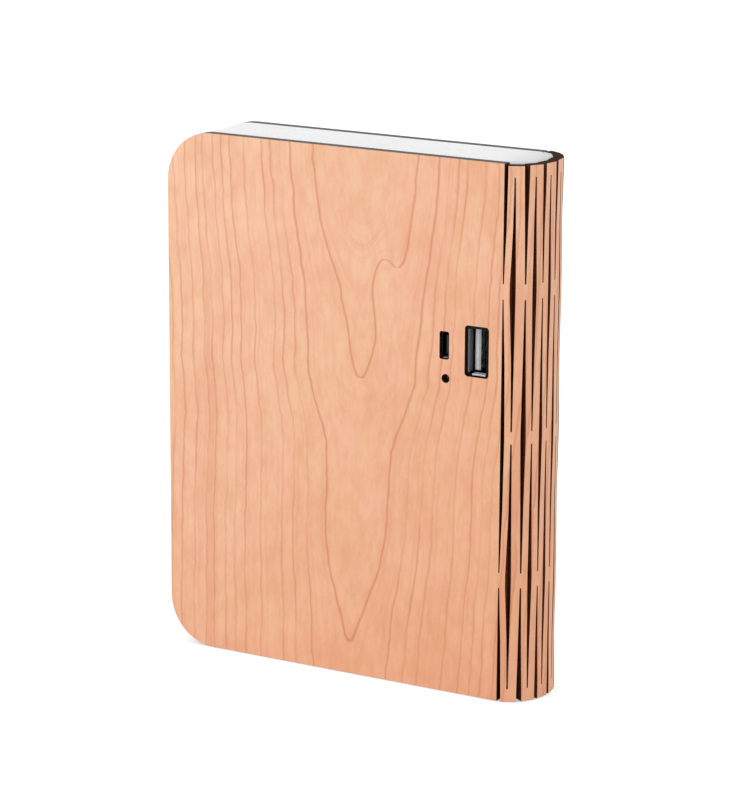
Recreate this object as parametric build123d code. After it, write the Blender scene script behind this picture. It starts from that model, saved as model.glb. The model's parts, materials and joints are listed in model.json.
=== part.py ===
from build123d import *
import os
from math import cos, radians, sin, tan

# A folding book lamp, closed and standing on its bottom edge: two wooden covers joined by a
# lattice-cut spine, a pleated paper shade between them, and a lit charging unit inside.
#
# Every size is in millimetres. The model is drawn in book coordinates: x = 0 on the front
# cover's hinge line with the fore-edge at -x, y = 0 on the front cover's outer face with the
# back cover at +y, and z = 0 on the bottom edge. Each piece is moved to the part's origin,
# the bottom centre of the closed book, when it is written.

# ---- covers ------------------------------------------------------------------------------
HEIGHT = 150.0
COVER_WIDTH = 107.2  # fore-edge to hinge line
COVER_T = 3.0
BOOK_T = 25.0  # outer face to outer face
CORNER_R = 14.0  # at the fore-edge only
LINING_T = 0.3
LINING_INSET = 0.6
LINING_HINGE_GAP = 1.2

# ---- lattice spine -----------------------------------------------------------------------
# Bend of each hinge line in degrees, from the front cover to the middle of the spine. The
# second half mirrors the first, and the middle line makes up the whole turn.
CLOSED_BENDS = (20.0, 17.0, 14.0, 13.5, 11.5, 9.5)
FOLDED_BACK_BENDS = (18.0, 4.0, 0.0, -31.0, -32.0, -32.5)
CLOSED_TURN = 180.0
FOLDED_BACK_TURN = -180.0
SLIT_W = 0.5  # at mid thickness
FOLD_TIP_T = 0.5  # thickness of a bridge where it folds
FOLD_CLEARANCE = 0.03  # left each side of a hinge line at its sharpest bend
LAST_LINE_CLEARANCE = 0.15  # the same where the spine meets the back cover
END_BRIDGE_H = 3.6
MIDDLE_BRIDGE_H = 3.5
QUARTER_BRIDGE_H = 4.2
QUARTER_BRIDGE_Z = 34.7  # centre of a quarter bridge, from the nearer end

# ---- pleated shade -----------------------------------------------------------------------
LEAVES = 12
LEAF_GAP = 0.2
LEAF_BACK_GAP = 0.4  # last leaf to the back lining
LEAF_INSET = 0.6  # leaf edge inside the cover edge
LEAF_SPINE_GAP = 1.4  # leaf end to the spine's inner wall
SHADE_CASE_GAP = 2.4  # shade's inner edge to the ends of the charging unit's case
PAPER_T = 0.3

# ---- charging unit -----------------------------------------------------------------------
CASE_HINGE_GAP = 2.0  # hinge line to the case
CASE_W = 25.0
CASE_H = 84.0
CASE_D = 15.0  # off the cover's inner face
CASE_WALL = 1.4
CASE_FLOOR = 1.4
CASE_CORNER_R = 2.5
CASE_SHARP_R = 0.4  # least corner inside the case
LID_T = 1.4
LID_LIP_H = 1.6
LID_LIP_T = 1.0
CASE_CLEARANCE = 0.15

BOARD_T = 1.2  # circuit board
BOARD_TOP_GAP = 0.4
BOARD_SIDE_GAP = 0.3

USB_A_X = 7.9  # socket centres, from the hinge line
USB_A_DROP = 19.2  # and below the case's top end
USB_A_CUT = (7.4, 14.15)
USB_A_CUT_R = 1.0
USB_A_INSIDE = (5.12, 12.5)
USB_A_INSIDE_R = 0.3
USB_A_FLARE_GAP = 0.15  # flared mouth of the shell to the cover's cut-out
USB_A_FLARE_T = 0.5
USB_A_TONGUE_T = 1.84
USB_A_TONGUE_SIDE_GAP = 0.3  # shell to the tongue's back
USB_A_TONGUE_END_GAP = 0.6
USB_A_TONGUE_SET_BACK = 2.2
MICRO_X = 17.9
MICRO_DROP = 18.5
MICRO_CUT = (3.0, 7.8)
MICRO_CUT_R = 0.6
MICRO_INSIDE = (1.8, 6.9)
MICRO_INSIDE_R = 0.5
MICRO_TONGUE_T = 0.6
MICRO_TONGUE_END_GAP = 0.9
MICRO_TONGUE_SET_BACK = 1.2
TONGUE_FOOT_T = 0.9
SHELL_T = 0.3
MOUTH_SET_BACK = 0.7  # socket mouths behind the cover's outer face
CONTACTS = 4
CONTACT_T = 0.2
CONTACT_W = 1.25
CONTACT_PITCH = 2.5
CONTACT_SET_BACK = 2.2  # behind the tongue's tip
LAMP_HOLE_D = 2.5
LAMP_D = 2.0
LAMP_SET_BACK = 1.2  # behind the case floor
LAMP_X = 17.4
LAMP_DROP = 27.7

CELL_W = 18.0
CELL_T = 8.0
CELL_R = 2.0
CELL_END_GAP = 6.0  # case's bottom end to the cell
CELL_POST_GAP = 3.3  # cell's top end to the posts
TAB_W = 3.0
TAB_T = 0.2
TAB_SPACING = 9.0
TAB_BEND_UP = 3.0

LIGHT_BOARD_T = 1.0
LIGHT_BOARD_W = 10.0
LIGHT_BOARD_END_GAP = 6.0  # to the case's ends
LIGHT_COUNT = 9
LIGHT = (0.8, 2.8, 3.5)
PLUG_BLOCK = (4.0, 2.0, 8.0)
PLUG_DROP = 7.0  # its centre below the case's top end

SWITCH = (3.0, 1.1, 1.5)
SWITCH_DROP = 10.0  # below the case's top end
CHIP = (4.0, 1.0, 5.0)
COIL = (5.0, 2.8, 5.0)
COIL_TAB_GAP = 0.5
COIL_SOCKET_GAP = 0.55
CAPACITOR = (1.6, 0.9, 0.8)
CAPACITORS = 4
CAPACITOR_PITCH = 2.4

SCREW_D = 1.6
SCREW_HEAD_D = 3.2
SCREW_HEAD_T = 0.8
SCREW_GRIP = 5.0  # shank length in its post
POST_D = 3.6
POST_INSET = 2.6  # post centre to the case's outer side
SCREW_PLAY = 0.05

# ---- magnets -----------------------------------------------------------------------------
MAGNET_D = 8.0
MAGNET_T = 2.0
MAGNET_PLAY = 0.1
MAGNET_EDGE = 11.0  # magnet centre to the fore-edge
MAGNET_END = 34.0  # magnet centre to the top or bottom edge
SWITCH_MAGNET_D = 5.0

INNER_FACE = COVER_T
BACK_INNER_FACE = BOOK_T - COVER_T


# ---- shared helpers ----------------------------------------------------------------------
def plate(outline, y_low, y_high):
    """An outline drawn in x and z, given its thickness between two depths."""
    far_face = Plane(origin=(0, y_high, 0), x_dir=(1, 0, 0), z_dir=(0, -1, 0)) * outline
    return extrude(far_face, amount=y_high - y_low, dir=(0, -1, 0))


def column(points, z_low, z_high):
    """A plan outline raised between two heights."""
    outline = make_face(Polyline(*points, close=True))
    return extrude(Pos(0, 0, z_low) * outline, amount=z_high - z_low, dir=(0, 0, 1))


def block(centre, size):
    return Pos(*centre) * Box(*size)


def disc(x, z, diameter, y_low, y_high):
    return plate(Pos(x, z) * Circle(diameter / 2), y_low, y_high)


def slot_outline(x, z, size, corner_r):
    return Pos(x, z) * RectangleRounded(size[0], size[1], corner_r)


def grown(size, by):
    return tuple(side + 2 * by for side in size)


def from_back(shape):
    """The same piece on the back half of the book."""
    return Pos(0, BOOK_T, 0) * mirror(shape, about=Plane.XZ)


def cover_outline(inset, right):
    """A cover's face, rounded at the fore-edge and square at the spine."""
    left = -COVER_WIDTH + inset
    shape = Pos((left + right) / 2, HEIGHT / 2) * Rectangle(right - left, HEIGHT - 2 * inset)
    return fillet(shape.vertices().group_by(Axis.X)[0], CORNER_R - inset)


# ---- lattice spine -----------------------------------------------------------------------
def all_bends(half, turn):
    return list(half) + [turn - 2 * sum(half)] + list(reversed(half))


def slit_half_widths():
    """Half the slit at the faces and at the bridge tips, for each hinge line."""
    faces, tips = [], []
    closed_bends = all_bends(CLOSED_BENDS, CLOSED_TURN)
    folded_bends = all_bends(FOLDED_BACK_BENDS, FOLDED_BACK_TURN)
    clearances = [FOLD_CLEARANCE] * (len(closed_bends) - 1) + [LAST_LINE_CLEARANCE]
    for closed, folded, clearance in zip(closed_bends, folded_bends, clearances):
        slope = tan(radians(max(abs(closed), abs(folded)) / 2))
        faces.append(max(COVER_T / 2 * slope + clearance, SLIT_W / 2))
        tips.append(FOLD_TIP_T / 2 * slope + clearance)
    return faces, tips


def spine_chain():
    """Hinge line places, strip headings in degrees and the strip pitch, for the closed book."""
    headings, heading = [], 0.0
    for bend in all_bends(CLOSED_BENDS, CLOSED_TURN)[:-1]:
        heading += bend
        headings.append(heading)
    pitch = (BOOK_T - COVER_T) / sum(sin(radians(h)) for h in headings)
    places = [(0.0, COVER_T / 2)]
    for h in headings:
        x, y = places[-1]
        places.append((x + pitch * cos(radians(h)), y + pitch * sin(radians(h))))
    return places, headings, pitch


FACE_GAPS, TIP_GAPS = slit_half_widths()
PLACES, HEADINGS, PITCH = spine_chain()


def bridge_spans(line):
    """Heights at which a hinge line is bridged: lines take turns, open ends first."""
    if line % 2:
        middle = HEIGHT / 2
        return [
            (0, END_BRIDGE_H),
            (middle - MIDDLE_BRIDGE_H / 2, middle + MIDDLE_BRIDGE_H / 2),
            (HEIGHT - END_BRIDGE_H, HEIGHT),
        ]
    return [
        (z - QUARTER_BRIDGE_H / 2, z + QUARTER_BRIDGE_H / 2)
        for z in (QUARTER_BRIDGE_Z, HEIGHT - QUARTER_BRIDGE_Z)
    ]


def bridge_halves(line, edge, side):
    """The half bridges that stand into a slit, from the edge of a strip or a cover.

    edge is the hinge line's place across the strip, and side is +1 where it is the far edge.
    """
    face = edge - side * FACE_GAPS[line]
    tip = edge - side * TIP_GAPS[line]
    wedge = [
        (face, -COVER_T / 2),
        (tip, -FOLD_TIP_T / 2),
        (tip, FOLD_TIP_T / 2),
        (face, COVER_T / 2),
    ]
    return [column(wedge, low, high) for low, high in bridge_spans(line)]


def spine_strip(index):
    """One upright strip of the lattice between hinge lines index and index + 1."""
    near, far = FACE_GAPS[index], PITCH - FACE_GAPS[index + 1]
    section = [
        (near, -COVER_T / 2),
        (far, -COVER_T / 2),
        (PITCH - SLIT_W / 2, 0),
        (far, COVER_T / 2),
        (near, COVER_T / 2),
        (SLIT_W / 2, 0),
    ]
    strip = column(section, 0, HEIGHT)
    for half in bridge_halves(index, 0, -1) + bridge_halves(index + 1, PITCH, 1):
        strip += half
    x, y = PLACES[index]
    return Location((x, y, 0), (0, 0, HEADINGS[index])) * strip


def inner_wall_x(y):
    """How far the spine's inner wall stands out at a depth y in the closed book."""
    wall, heading = [], 0.0
    for (x, line_y), bend in zip(PLACES, all_bends(CLOSED_BENDS, CLOSED_TURN)):
        mean = radians(heading + bend / 2)
        wall.append((x - COVER_T / 2 * sin(mean), line_y + COVER_T / 2 * cos(mean)))
        heading += bend
    for (x0, y0), (x1, y1) in zip(wall, wall[1:]):
        if y <= y1:
            return x0 + (x1 - x0) * max(y - y0, 0) / (y1 - y0)
    return wall[-1][0]


# ---- charging unit places ----------------------------------------------------------------
CASE_RIGHT = -CASE_HINGE_GAP
CASE_LEFT = CASE_RIGHT - CASE_W
CASE_X = (CASE_LEFT + CASE_RIGHT) / 2
CASE_Z = HEIGHT / 2
CASE_BOTTOM = CASE_Z - CASE_H / 2
CASE_TOP = CASE_Z + CASE_H / 2
USB_A_Z = CASE_TOP - USB_A_DROP
MICRO_Z = CASE_TOP - MICRO_DROP
LAMP_Z = CASE_TOP - LAMP_DROP
SWITCH_Z = CASE_TOP - SWITCH_DROP
PLUG_Z = CASE_TOP - PLUG_DROP
CASE_FLOOR_TOP = INNER_FACE + CASE_FLOOR
LID_TOP = INNER_FACE + CASE_D
RIM = LID_TOP - LID_T  # where the case walls meet the lid

BOARD_BACK = RIM - LID_LIP_H  # held down by the lid's lip
BOARD_FACE = BOARD_BACK - BOARD_T
BOARD_W = CASE_W - 2 * (CASE_WALL + BOARD_SIDE_GAP)
BOARD_LEFT = CASE_X - BOARD_W / 2
COIL_Z = USB_A_Z - USB_A_INSIDE[1] / 2 - SHELL_T - COIL_SOCKET_GAP - COIL[2] / 2
BOARD_TOP = CASE_TOP - CASE_WALL - BOARD_TOP_GAP
BOARD_BOTTOM = COIL_Z - COIL[2] / 2 - COIL_TAB_GAP - TAB_W
BOARD_Z = (BOARD_TOP + BOARD_BOTTOM) / 2

UPPER_POST_Z = BOARD_BOTTOM - POST_D / 2 - BOARD_SIDE_GAP
POSTS = [
    (x, z)
    for x in (CASE_LEFT + POST_INSET, CASE_RIGHT - POST_INSET)
    for z in (CASE_BOTTOM + POST_INSET, UPPER_POST_Z)
]
CELL_BOTTOM = CASE_BOTTOM + CELL_END_GAP
CELL_TOP = UPPER_POST_Z - POST_D / 2 - CELL_POST_GAP

USB_A_TONGUE_FACE = -USB_A_X - USB_A_INSIDE[0] / 2 + USB_A_TONGUE_SIDE_GAP + USB_A_TONGUE_T

MAGNETS = [(-COVER_WIDTH + MAGNET_EDGE, z) for z in (MAGNET_END, HEIGHT - MAGNET_END)]


def socket_cut(x, z, size, corner_r, y_low, y_high, margin=0.0):
    return plate(slot_outline(-x, z, grown(size, margin), corner_r + margin), y_low, y_high)


# ---- covers ------------------------------------------------------------------------------
def plain_cover(line):
    """A cover with its half of the bridges on its hinge line."""
    cover = plate(cover_outline(0, -FACE_GAPS[line]), 0, COVER_T)
    edge = [(-FACE_GAPS[line], -COVER_T / 2), (-SLIT_W / 2, 0), (-FACE_GAPS[line], COVER_T / 2)]
    for piece in [column(edge, 0, HEIGHT)] + bridge_halves(line, 0, 1):
        cover += Pos(0, COVER_T / 2, 0) * piece
    for x, z in MAGNETS:
        cover -= disc(x, z, MAGNET_D + 2 * MAGNET_PLAY, COVER_T - MAGNET_T, COVER_T)
    return cover


def front_board():
    cover = plain_cover(0)
    cover -= socket_cut(USB_A_X, USB_A_Z, USB_A_CUT, USB_A_CUT_R, 0, COVER_T)
    cover -= socket_cut(MICRO_X, MICRO_Z, MICRO_CUT, MICRO_CUT_R, 0, COVER_T)
    return cover - disc(-LAMP_X, LAMP_Z, LAMP_HOLE_D, 0, COVER_T)


def back_board():
    cover = plain_cover(len(HEADINGS))
    switch_magnet_hole = SWITCH_MAGNET_D + 2 * MAGNET_PLAY
    cover -= disc(CASE_X, SWITCH_Z, switch_magnet_hole, COVER_T - MAGNET_T, COVER_T)
    return from_back(cover)


def cover_magnets():
    return [disc(x, z, MAGNET_D, COVER_T - MAGNET_T, COVER_T) for x, z in MAGNETS]


def lining():
    """A paper sheet glued over a cover's inner face and its magnets."""
    outline = cover_outline(LINING_INSET, -LINING_HINGE_GAP)
    return plate(outline, INNER_FACE, INNER_FACE + LINING_T)


def front_lining():
    window = grown((CASE_W, CASE_H), CASE_CLEARANCE)
    hole = slot_outline(CASE_X, CASE_Z, window, CASE_CORNER_R + CASE_CLEARANCE)
    return lining() - plate(hole, INNER_FACE, INNER_FACE + LINING_T)


# ---- pleated shade -----------------------------------------------------------------------
def shade_leaf(index):
    """One fold of the shade: two sheets joined at the outer rim, open towards the lamp."""
    depth = BACK_INNER_FACE - INNER_FACE - 2 * LINING_T - LEAF_BACK_GAP
    leaf_pitch = depth / LEAVES
    y_low = INNER_FACE + LINING_T + LEAF_GAP + index * leaf_pitch
    y_high = y_low + leaf_pitch - LEAF_GAP
    right = min(inner_wall_x(y_low), inner_wall_x(y_high)) - LEAF_SPINE_GAP
    rim = cover_outline(LEAF_INSET, right)
    hollow_inset = (HEIGHT - CASE_H) / 2 - SHADE_CASE_GAP
    inner_left = -COVER_WIDTH + hollow_inset
    hollow_h = HEIGHT - 2 * hollow_inset
    hollow = Pos((inner_left + right) / 2, HEIGHT / 2) * Rectangle(right - inner_left, hollow_h)
    fold_inside = cover_outline(LEAF_INSET + PAPER_T, right)
    leaf = plate(rim - hollow, y_low, y_high)
    return leaf - plate(fold_inside - hollow, y_low + PAPER_T, y_high - PAPER_T)


# ---- charging unit -----------------------------------------------------------------------
def case_outline(inset):
    corner_r = max(CASE_CORNER_R - inset, CASE_SHARP_R)
    return slot_outline(CASE_X, CASE_Z, grown((CASE_W, CASE_H), -inset), corner_r)


def case_tray():
    """The open case, glued to the front cover, with its screw posts and socket holes."""
    tray = plate(case_outline(0), INNER_FACE, RIM)
    tray -= plate(case_outline(CASE_WALL), CASE_FLOOR_TOP, RIM)
    for x, z in POSTS:
        tray += disc(x, z, POST_D, INNER_FACE, RIM - LID_LIP_H)
        tray -= disc(x, z, SCREW_D + 2 * SCREW_PLAY, RIM - SCREW_GRIP, RIM)
    floor = (INNER_FACE, CASE_FLOOR_TOP)
    for x, z, inside in ((USB_A_X, USB_A_Z, USB_A_INSIDE), (MICRO_X, MICRO_Z, MICRO_INSIDE)):
        tray -= plate(Pos(-x, z) * Rectangle(*grown(inside, SHELL_T + CASE_CLEARANCE)), *floor)
    tray -= disc(-LAMP_X, LAMP_Z, LAMP_HOLE_D, *floor)
    plug_hole = grown((CASE_WALL, PLUG_BLOCK[1], PLUG_BLOCK[2]), CASE_CLEARANCE)
    return tray - block((CASE_LEFT + CASE_WALL / 2, plug_block_y(), PLUG_Z), plug_hole)


def case_lid():
    """The lid, with a lip inside the walls that is notched round the posts."""
    lid = plate(case_outline(0), RIM, LID_TOP)
    lip = case_outline(CASE_WALL + CASE_CLEARANCE) - case_outline(CASE_WALL + CASE_CLEARANCE + LID_LIP_T)
    lid += plate(lip, RIM - LID_LIP_H + CASE_CLEARANCE, RIM)
    for x, z in POSTS:
        lid -= disc(x, z, SCREW_D + 2 * SCREW_PLAY, RIM - LID_LIP_H, LID_TOP)
    return lid


def lid_screw(x, z):
    """A low-head screw along y with its head on the lid."""
    shank = disc(x, z, SCREW_D, RIM - SCREW_GRIP, LID_TOP)
    return shank + disc(x, z, SCREW_HEAD_D, LID_TOP, LID_TOP + SCREW_HEAD_T)


def lid_screws():
    return [lid_screw(x, z) for x, z in POSTS]


def circuit_board():
    size = (BOARD_W, BOARD_T, BOARD_TOP - BOARD_BOTTOM)
    return block((CASE_X, (BOARD_FACE + BOARD_BACK) / 2, BOARD_Z), size)


def socket_shell(x, z, inside, corner_r):
    """A folded metal tube from a socket's mouth to the circuit board."""
    tube = socket_cut(x, z, inside, corner_r, MOUTH_SET_BACK, BOARD_FACE, SHELL_T)
    return tube - socket_cut(x, z, inside, corner_r, MOUTH_SET_BACK, BOARD_FACE - SHELL_T)


def usb_a_shell():
    shell = socket_shell(USB_A_X, USB_A_Z, USB_A_INSIDE, USB_A_INSIDE_R)
    ends = (MOUTH_SET_BACK, MOUTH_SET_BACK + USB_A_FLARE_T)
    flare = socket_cut(USB_A_X, USB_A_Z, USB_A_CUT, USB_A_CUT_R, *ends, -USB_A_FLARE_GAP)
    return shell + (flare - socket_cut(USB_A_X, USB_A_Z, USB_A_INSIDE, USB_A_INSIDE_R, *ends))


def usb_a_tongue():
    """The plastic tongue, off centre towards the fore-edge, on its foot at the back."""
    back = BOARD_FACE - SHELL_T
    front = MOUTH_SET_BACK + USB_A_TONGUE_SET_BACK
    size = (USB_A_TONGUE_T, back - front, USB_A_INSIDE[1] - 2 * USB_A_TONGUE_END_GAP)
    tongue = block((USB_A_TONGUE_FACE - USB_A_TONGUE_T / 2, (front + back) / 2, USB_A_Z), size)
    tip = tongue.edges().filter_by(Axis.Z).group_by(Axis.Y)[0]
    tongue = chamfer(tip, USB_A_TONGUE_T / 4)
    foot = socket_cut(USB_A_X, USB_A_Z, USB_A_INSIDE, USB_A_INSIDE_R, back - TONGUE_FOOT_T, back)
    return tongue + foot


def usb_a_contacts():
    """Four spring contacts on the tongue's open side."""
    back = BOARD_FACE - SHELL_T - TONGUE_FOOT_T
    front = MOUTH_SET_BACK + USB_A_TONGUE_SET_BACK + CONTACT_SET_BACK
    x = USB_A_TONGUE_FACE + CONTACT_T / 2
    first = USB_A_Z - (CONTACTS - 1) * CONTACT_PITCH / 2
    size = (CONTACT_T, back - front, CONTACT_W)
    return [block((x, (front + back) / 2, first + i * CONTACT_PITCH), size) for i in range(CONTACTS)]


def micro_usb_shell():
    return socket_shell(MICRO_X, MICRO_Z, MICRO_INSIDE, MICRO_INSIDE_R)


def micro_usb_tongue():
    back = BOARD_FACE - SHELL_T
    front = MOUTH_SET_BACK + MICRO_TONGUE_SET_BACK
    size = (MICRO_TONGUE_T, back - front, MICRO_INSIDE[1] - 2 * MICRO_TONGUE_END_GAP)
    tongue = block((-MICRO_X, (front + back) / 2, MICRO_Z), size)
    foot = socket_cut(MICRO_X, MICRO_Z, MICRO_INSIDE, MICRO_INSIDE_R, back - TONGUE_FOOT_T, back)
    return tongue + foot


def indicator_lamp():
    """A small round lamp on the circuit board, behind its hole in the cover."""
    body = disc(-LAMP_X, LAMP_Z, LAMP_D, CASE_FLOOR_TOP + LAMP_SET_BACK, BOARD_FACE)
    rim = body.edges().filter_by(GeomType.CIRCLE).group_by(Axis.Y)[0]
    return chamfer(rim, LAMP_D / 4)


def battery_cell():
    """A flat pouch cell on the case floor."""
    centre = (CASE_X, CASE_FLOOR_TOP + CELL_T / 2, (CELL_BOTTOM + CELL_TOP) / 2)
    cell = block(centre, (CELL_W, CELL_T, CELL_TOP - CELL_BOTTOM))
    return fillet(cell.edges().filter_by(Axis.Z), CELL_R)


def cell_tabs():
    """Two nickel tabs bent from the cell's top end up to the circuit board."""
    start_y = CASE_FLOOR_TOP + CELL_T / 2
    end_y = BOARD_FACE - TAB_T / 2
    route = Polyline(
        (start_y, CELL_TOP),
        (start_y, CELL_TOP + TAB_BEND_UP),
        (end_y, BOARD_BOTTOM),
        (end_y, BOARD_BOTTOM + TAB_W),
    )
    strip = Plane.YZ * trace(route, TAB_T)
    tabs = []
    for side in (-1, 1):
        x = CASE_X + side * TAB_SPACING / 2
        tabs.append(extrude(Pos(x - TAB_W / 2, 0, 0) * strip, amount=TAB_W, dir=(1, 0, 0)))
    return tabs


def light_board_y():
    return (INNER_FACE + LID_TOP) / 2


def light_board_h():
    return CASE_H - 2 * LIGHT_BOARD_END_GAP


def light_board():
    """The strip of lights' own board, on the case side that faces the shade."""
    x = CASE_LEFT - LIGHT_BOARD_T / 2
    return block((x, light_board_y(), CASE_Z), (LIGHT_BOARD_T, LIGHT_BOARD_W, light_board_h()))


def lights():
    pitch = light_board_h() / LIGHT_COUNT
    x = CASE_LEFT - LIGHT_BOARD_T - LIGHT[0] / 2
    first = CASE_Z - (LIGHT_COUNT - 1) * pitch / 2
    lamps = []
    for i in range(LIGHT_COUNT):
        lamp = block((x, light_board_y(), first + i * pitch), LIGHT)
        lens_edges = lamp.faces().sort_by(Axis.X)[0].edges()
        lamps.append(chamfer(lens_edges, LIGHT[0] / 4))
    return lamps


def plug_block_y():
    return BOARD_FACE - PLUG_BLOCK[1] / 2


def light_plug():
    """The pin block that joins the light board to the circuit board through the case wall."""
    length = BOARD_LEFT - CASE_LEFT + PLUG_BLOCK[0]
    size = (length, PLUG_BLOCK[1], PLUG_BLOCK[2])
    return block((CASE_LEFT + length / 2, plug_block_y(), PLUG_Z), size)


def on_board_back(x, z, size):
    return block((x, BOARD_BACK + size[1] / 2, z), size)


def on_board_face(x, z, size):
    return block((x, BOARD_FACE - size[1] / 2, z), size)


def magnetic_switch():
    return on_board_back(CASE_X, SWITCH_Z, SWITCH)


def charge_chip():
    return on_board_back(CASE_X, BOARD_Z, CHIP)


def coil():
    body = on_board_face(-USB_A_X, COIL_Z, COIL)
    return fillet(body.edges().filter_by(Axis.Y), COIL[0] / 5)


def capacitors():
    z = BOARD_Z - CHIP[2]
    first = CASE_X - (CAPACITORS - 1) * CAPACITOR_PITCH / 2
    return [on_board_back(first + i * CAPACITOR_PITCH, z, CAPACITOR) for i in range(CAPACITORS)]


def switch_magnet():
    return from_back(disc(CASE_X, SWITCH_Z, SWITCH_MAGNET_D, COVER_T - MAGNET_T, COVER_T))


# ---- writing -----------------------------------------------------------------------------
def spine_reach():
    """How far the closed spine stands out past the hinge line."""
    reach = 0.0
    for i, heading in enumerate(HEADINGS):
        x, _ = PLACES[i]
        for across in (FACE_GAPS[i], PITCH - FACE_GAPS[i + 1]):
            out = COVER_T / 2 * sin(radians(heading))
            reach = max(reach, x + across * cos(radians(heading)) + out)
    return reach


ORIGIN = ((spine_reach() - COVER_WIDTH) / 2, BOOK_T / 2, 0.0)


def all_pieces():
    pieces = {
        "front_board": front_board(),
        "front_lining": front_lining(),
        "front_magnets": cover_magnets(),
        "back_board": back_board(),
        "back_lining": from_back(lining()),
        "back_magnets": [from_back(m) for m in cover_magnets()],
        "switch_magnet": switch_magnet(),
        "case_tray": case_tray(),
        "case_lid": case_lid(),
        "lid_screws": lid_screws(),
        "circuit_board": circuit_board(),
        "usb_a_shell": usb_a_shell(),
        "usb_a_tongue": usb_a_tongue(),
        "usb_a_contacts": usb_a_contacts(),
        "micro_usb_shell": micro_usb_shell(),
        "micro_usb_tongue": micro_usb_tongue(),
        "indicator_lamp": indicator_lamp(),
        "battery_cell": battery_cell(),
        "cell_tabs": cell_tabs(),
        "light_board": light_board(),
        "lights": lights(),
        "light_plug": light_plug(),
        "magnetic_switch": magnetic_switch(),
        "charge_chip": charge_chip(),
        "coil": coil(),
        "capacitors": capacitors(),
    }
    for i in range(len(HEADINGS)):
        pieces[f"spine_strip_{i + 1:02d}"] = spine_strip(i)
    for i in range(LEAVES):
        pieces[f"shade_leaf_{i + 1:02d}"] = shade_leaf(i)
    return pieces


os.makedirs("parts", exist_ok=True)
to_origin = Pos(-ORIGIN[0], -ORIGIN[1], -ORIGIN[2])
for name, piece in all_pieces().items():
    solids = piece if isinstance(piece, list) else [piece]
    moved = Compound(children=[to_origin * solid for part in solids for solid in part.solids()])
    export_step(moved, f"parts/{name}.step")
print("hinge line at x", round(-ORIGIN[0], 4), "strip pitch", round(PITCH, 4))
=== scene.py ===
import json
import math

import bmesh
import bpy
from mathutils import Matrix, Vector


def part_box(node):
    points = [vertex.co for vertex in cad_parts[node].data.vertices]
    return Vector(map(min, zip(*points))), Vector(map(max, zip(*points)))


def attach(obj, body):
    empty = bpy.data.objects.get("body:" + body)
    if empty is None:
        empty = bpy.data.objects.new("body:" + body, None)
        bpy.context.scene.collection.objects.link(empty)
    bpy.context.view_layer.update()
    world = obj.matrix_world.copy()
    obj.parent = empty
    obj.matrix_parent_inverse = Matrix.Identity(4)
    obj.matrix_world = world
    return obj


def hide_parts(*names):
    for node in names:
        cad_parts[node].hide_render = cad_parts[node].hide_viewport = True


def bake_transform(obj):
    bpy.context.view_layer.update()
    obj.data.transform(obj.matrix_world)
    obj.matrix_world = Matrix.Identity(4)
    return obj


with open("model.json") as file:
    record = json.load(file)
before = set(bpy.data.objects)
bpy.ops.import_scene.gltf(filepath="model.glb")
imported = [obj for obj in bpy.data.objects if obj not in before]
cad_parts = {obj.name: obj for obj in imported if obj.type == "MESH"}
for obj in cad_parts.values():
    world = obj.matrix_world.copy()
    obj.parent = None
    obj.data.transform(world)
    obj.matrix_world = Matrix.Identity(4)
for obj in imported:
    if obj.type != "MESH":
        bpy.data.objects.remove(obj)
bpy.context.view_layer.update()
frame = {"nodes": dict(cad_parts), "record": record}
nodes = frame["nodes"]

# ---- sizes in millimetres, in book coordinates ---------------------------------------------
# x = 0 on the front hinge line with the fore-edge at -x, y = 0 on the front outer face, and z = 0
# on the bottom edge.
HEIGHT = 150.0
COVER_WIDTH = 107.2
COVER_T = 3.0
BOOK_T = 25.0
CORNER_R = 14.0
BOOK_ORIGIN = (49.1347, -12.5)

# Bends of the closed spine's fold lines in degrees, from the front cover. The middle line makes
# up the half turn, and the second half mirrors the first.
CLOSED_BENDS = (20.0, 17.0, 14.0, 13.5, 11.5, 9.5)
# From the front cover to the spine's middle: each slit's width at its tips and half way between
# its bridges, and how far its middle lies from its fold line towards the nearer cover.
SLITS = (
    (0.1, 0.2, 0.0),
    (0.42, 0.24, 0.45),
    (0.4, 0.68, 0.0),
    (0.36, 0.52, 0.2),
    (0.36, 0.56, 0.1),
    (0.4, 0.56, 0.3),
    (0.44, 0.74, 0.0),
)
# How far the strips' top ends lie below the covers' top, for each pair from the front cover.
TOP_DROPS = (0.5, 0.35, 0.25, 0.1, 0.0, 0.0)
END_BRIDGE_H = 3.6
MIDDLE_BRIDGE_H = 3.5
QUARTER_BRIDGE_H = 4.2
QUARTER_BRIDGE_Z = 34.7  # centre of a quarter bridge, from the nearer end
FRONT_SEAM = 0.31  # how far a bridge reaches on to the front cover
BACK_SEAM = 0.43
TWIST_STEPS = 9

LEAVES = 12
LEAF_PITCH = 1.5
FIRST_LEAF_Y = 4.15
LINING_T = 0.3
LINING_HINGE_GAP = 0.45
PAPER_T = 0.12
PAPER_INSET = 0.1
PLEAT_DEPTH = 30.0
PLEAT_DEPTHS = (0.0, 0.12, 0.45, 1.1, 2.6, 6.0, 12.0, 20.0, PLEAT_DEPTH)  # rows of a pleat's mesh
# Pleats' ends to the spine's inner wall, which comes nearest to the middle ones as the book opens.
SPINE_GAP_LEAST = 0.35
SPINE_GAP_MOST = 1.4
SPINE_GAP_SLOPE = 0.25
SPINE_GAP_PEAK = 1.9
CASE_WINDOW = (-27.15, -1.85, 32.85, 117.15)  # left, right, bottom and top in the front lining
ARC_STEPS = 10
TOP_STEPS = 6
SIDE_STEPS = 4

# ---- camera --------------------------------------------------------------------------------
CAMERA_PLACE = Vector((0.455469, -0.787044, 0.301926))
CAMERA_AHEAD = Vector((-0.48425, 0.84121, -0.24055))
CAMERA_RIGHT = Vector((0.8667, 0.4988, 0.0))
CAMERA_ROLL = 0.0062
SENSOR_WIDTH = 36.0
LENS = 150.27

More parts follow.
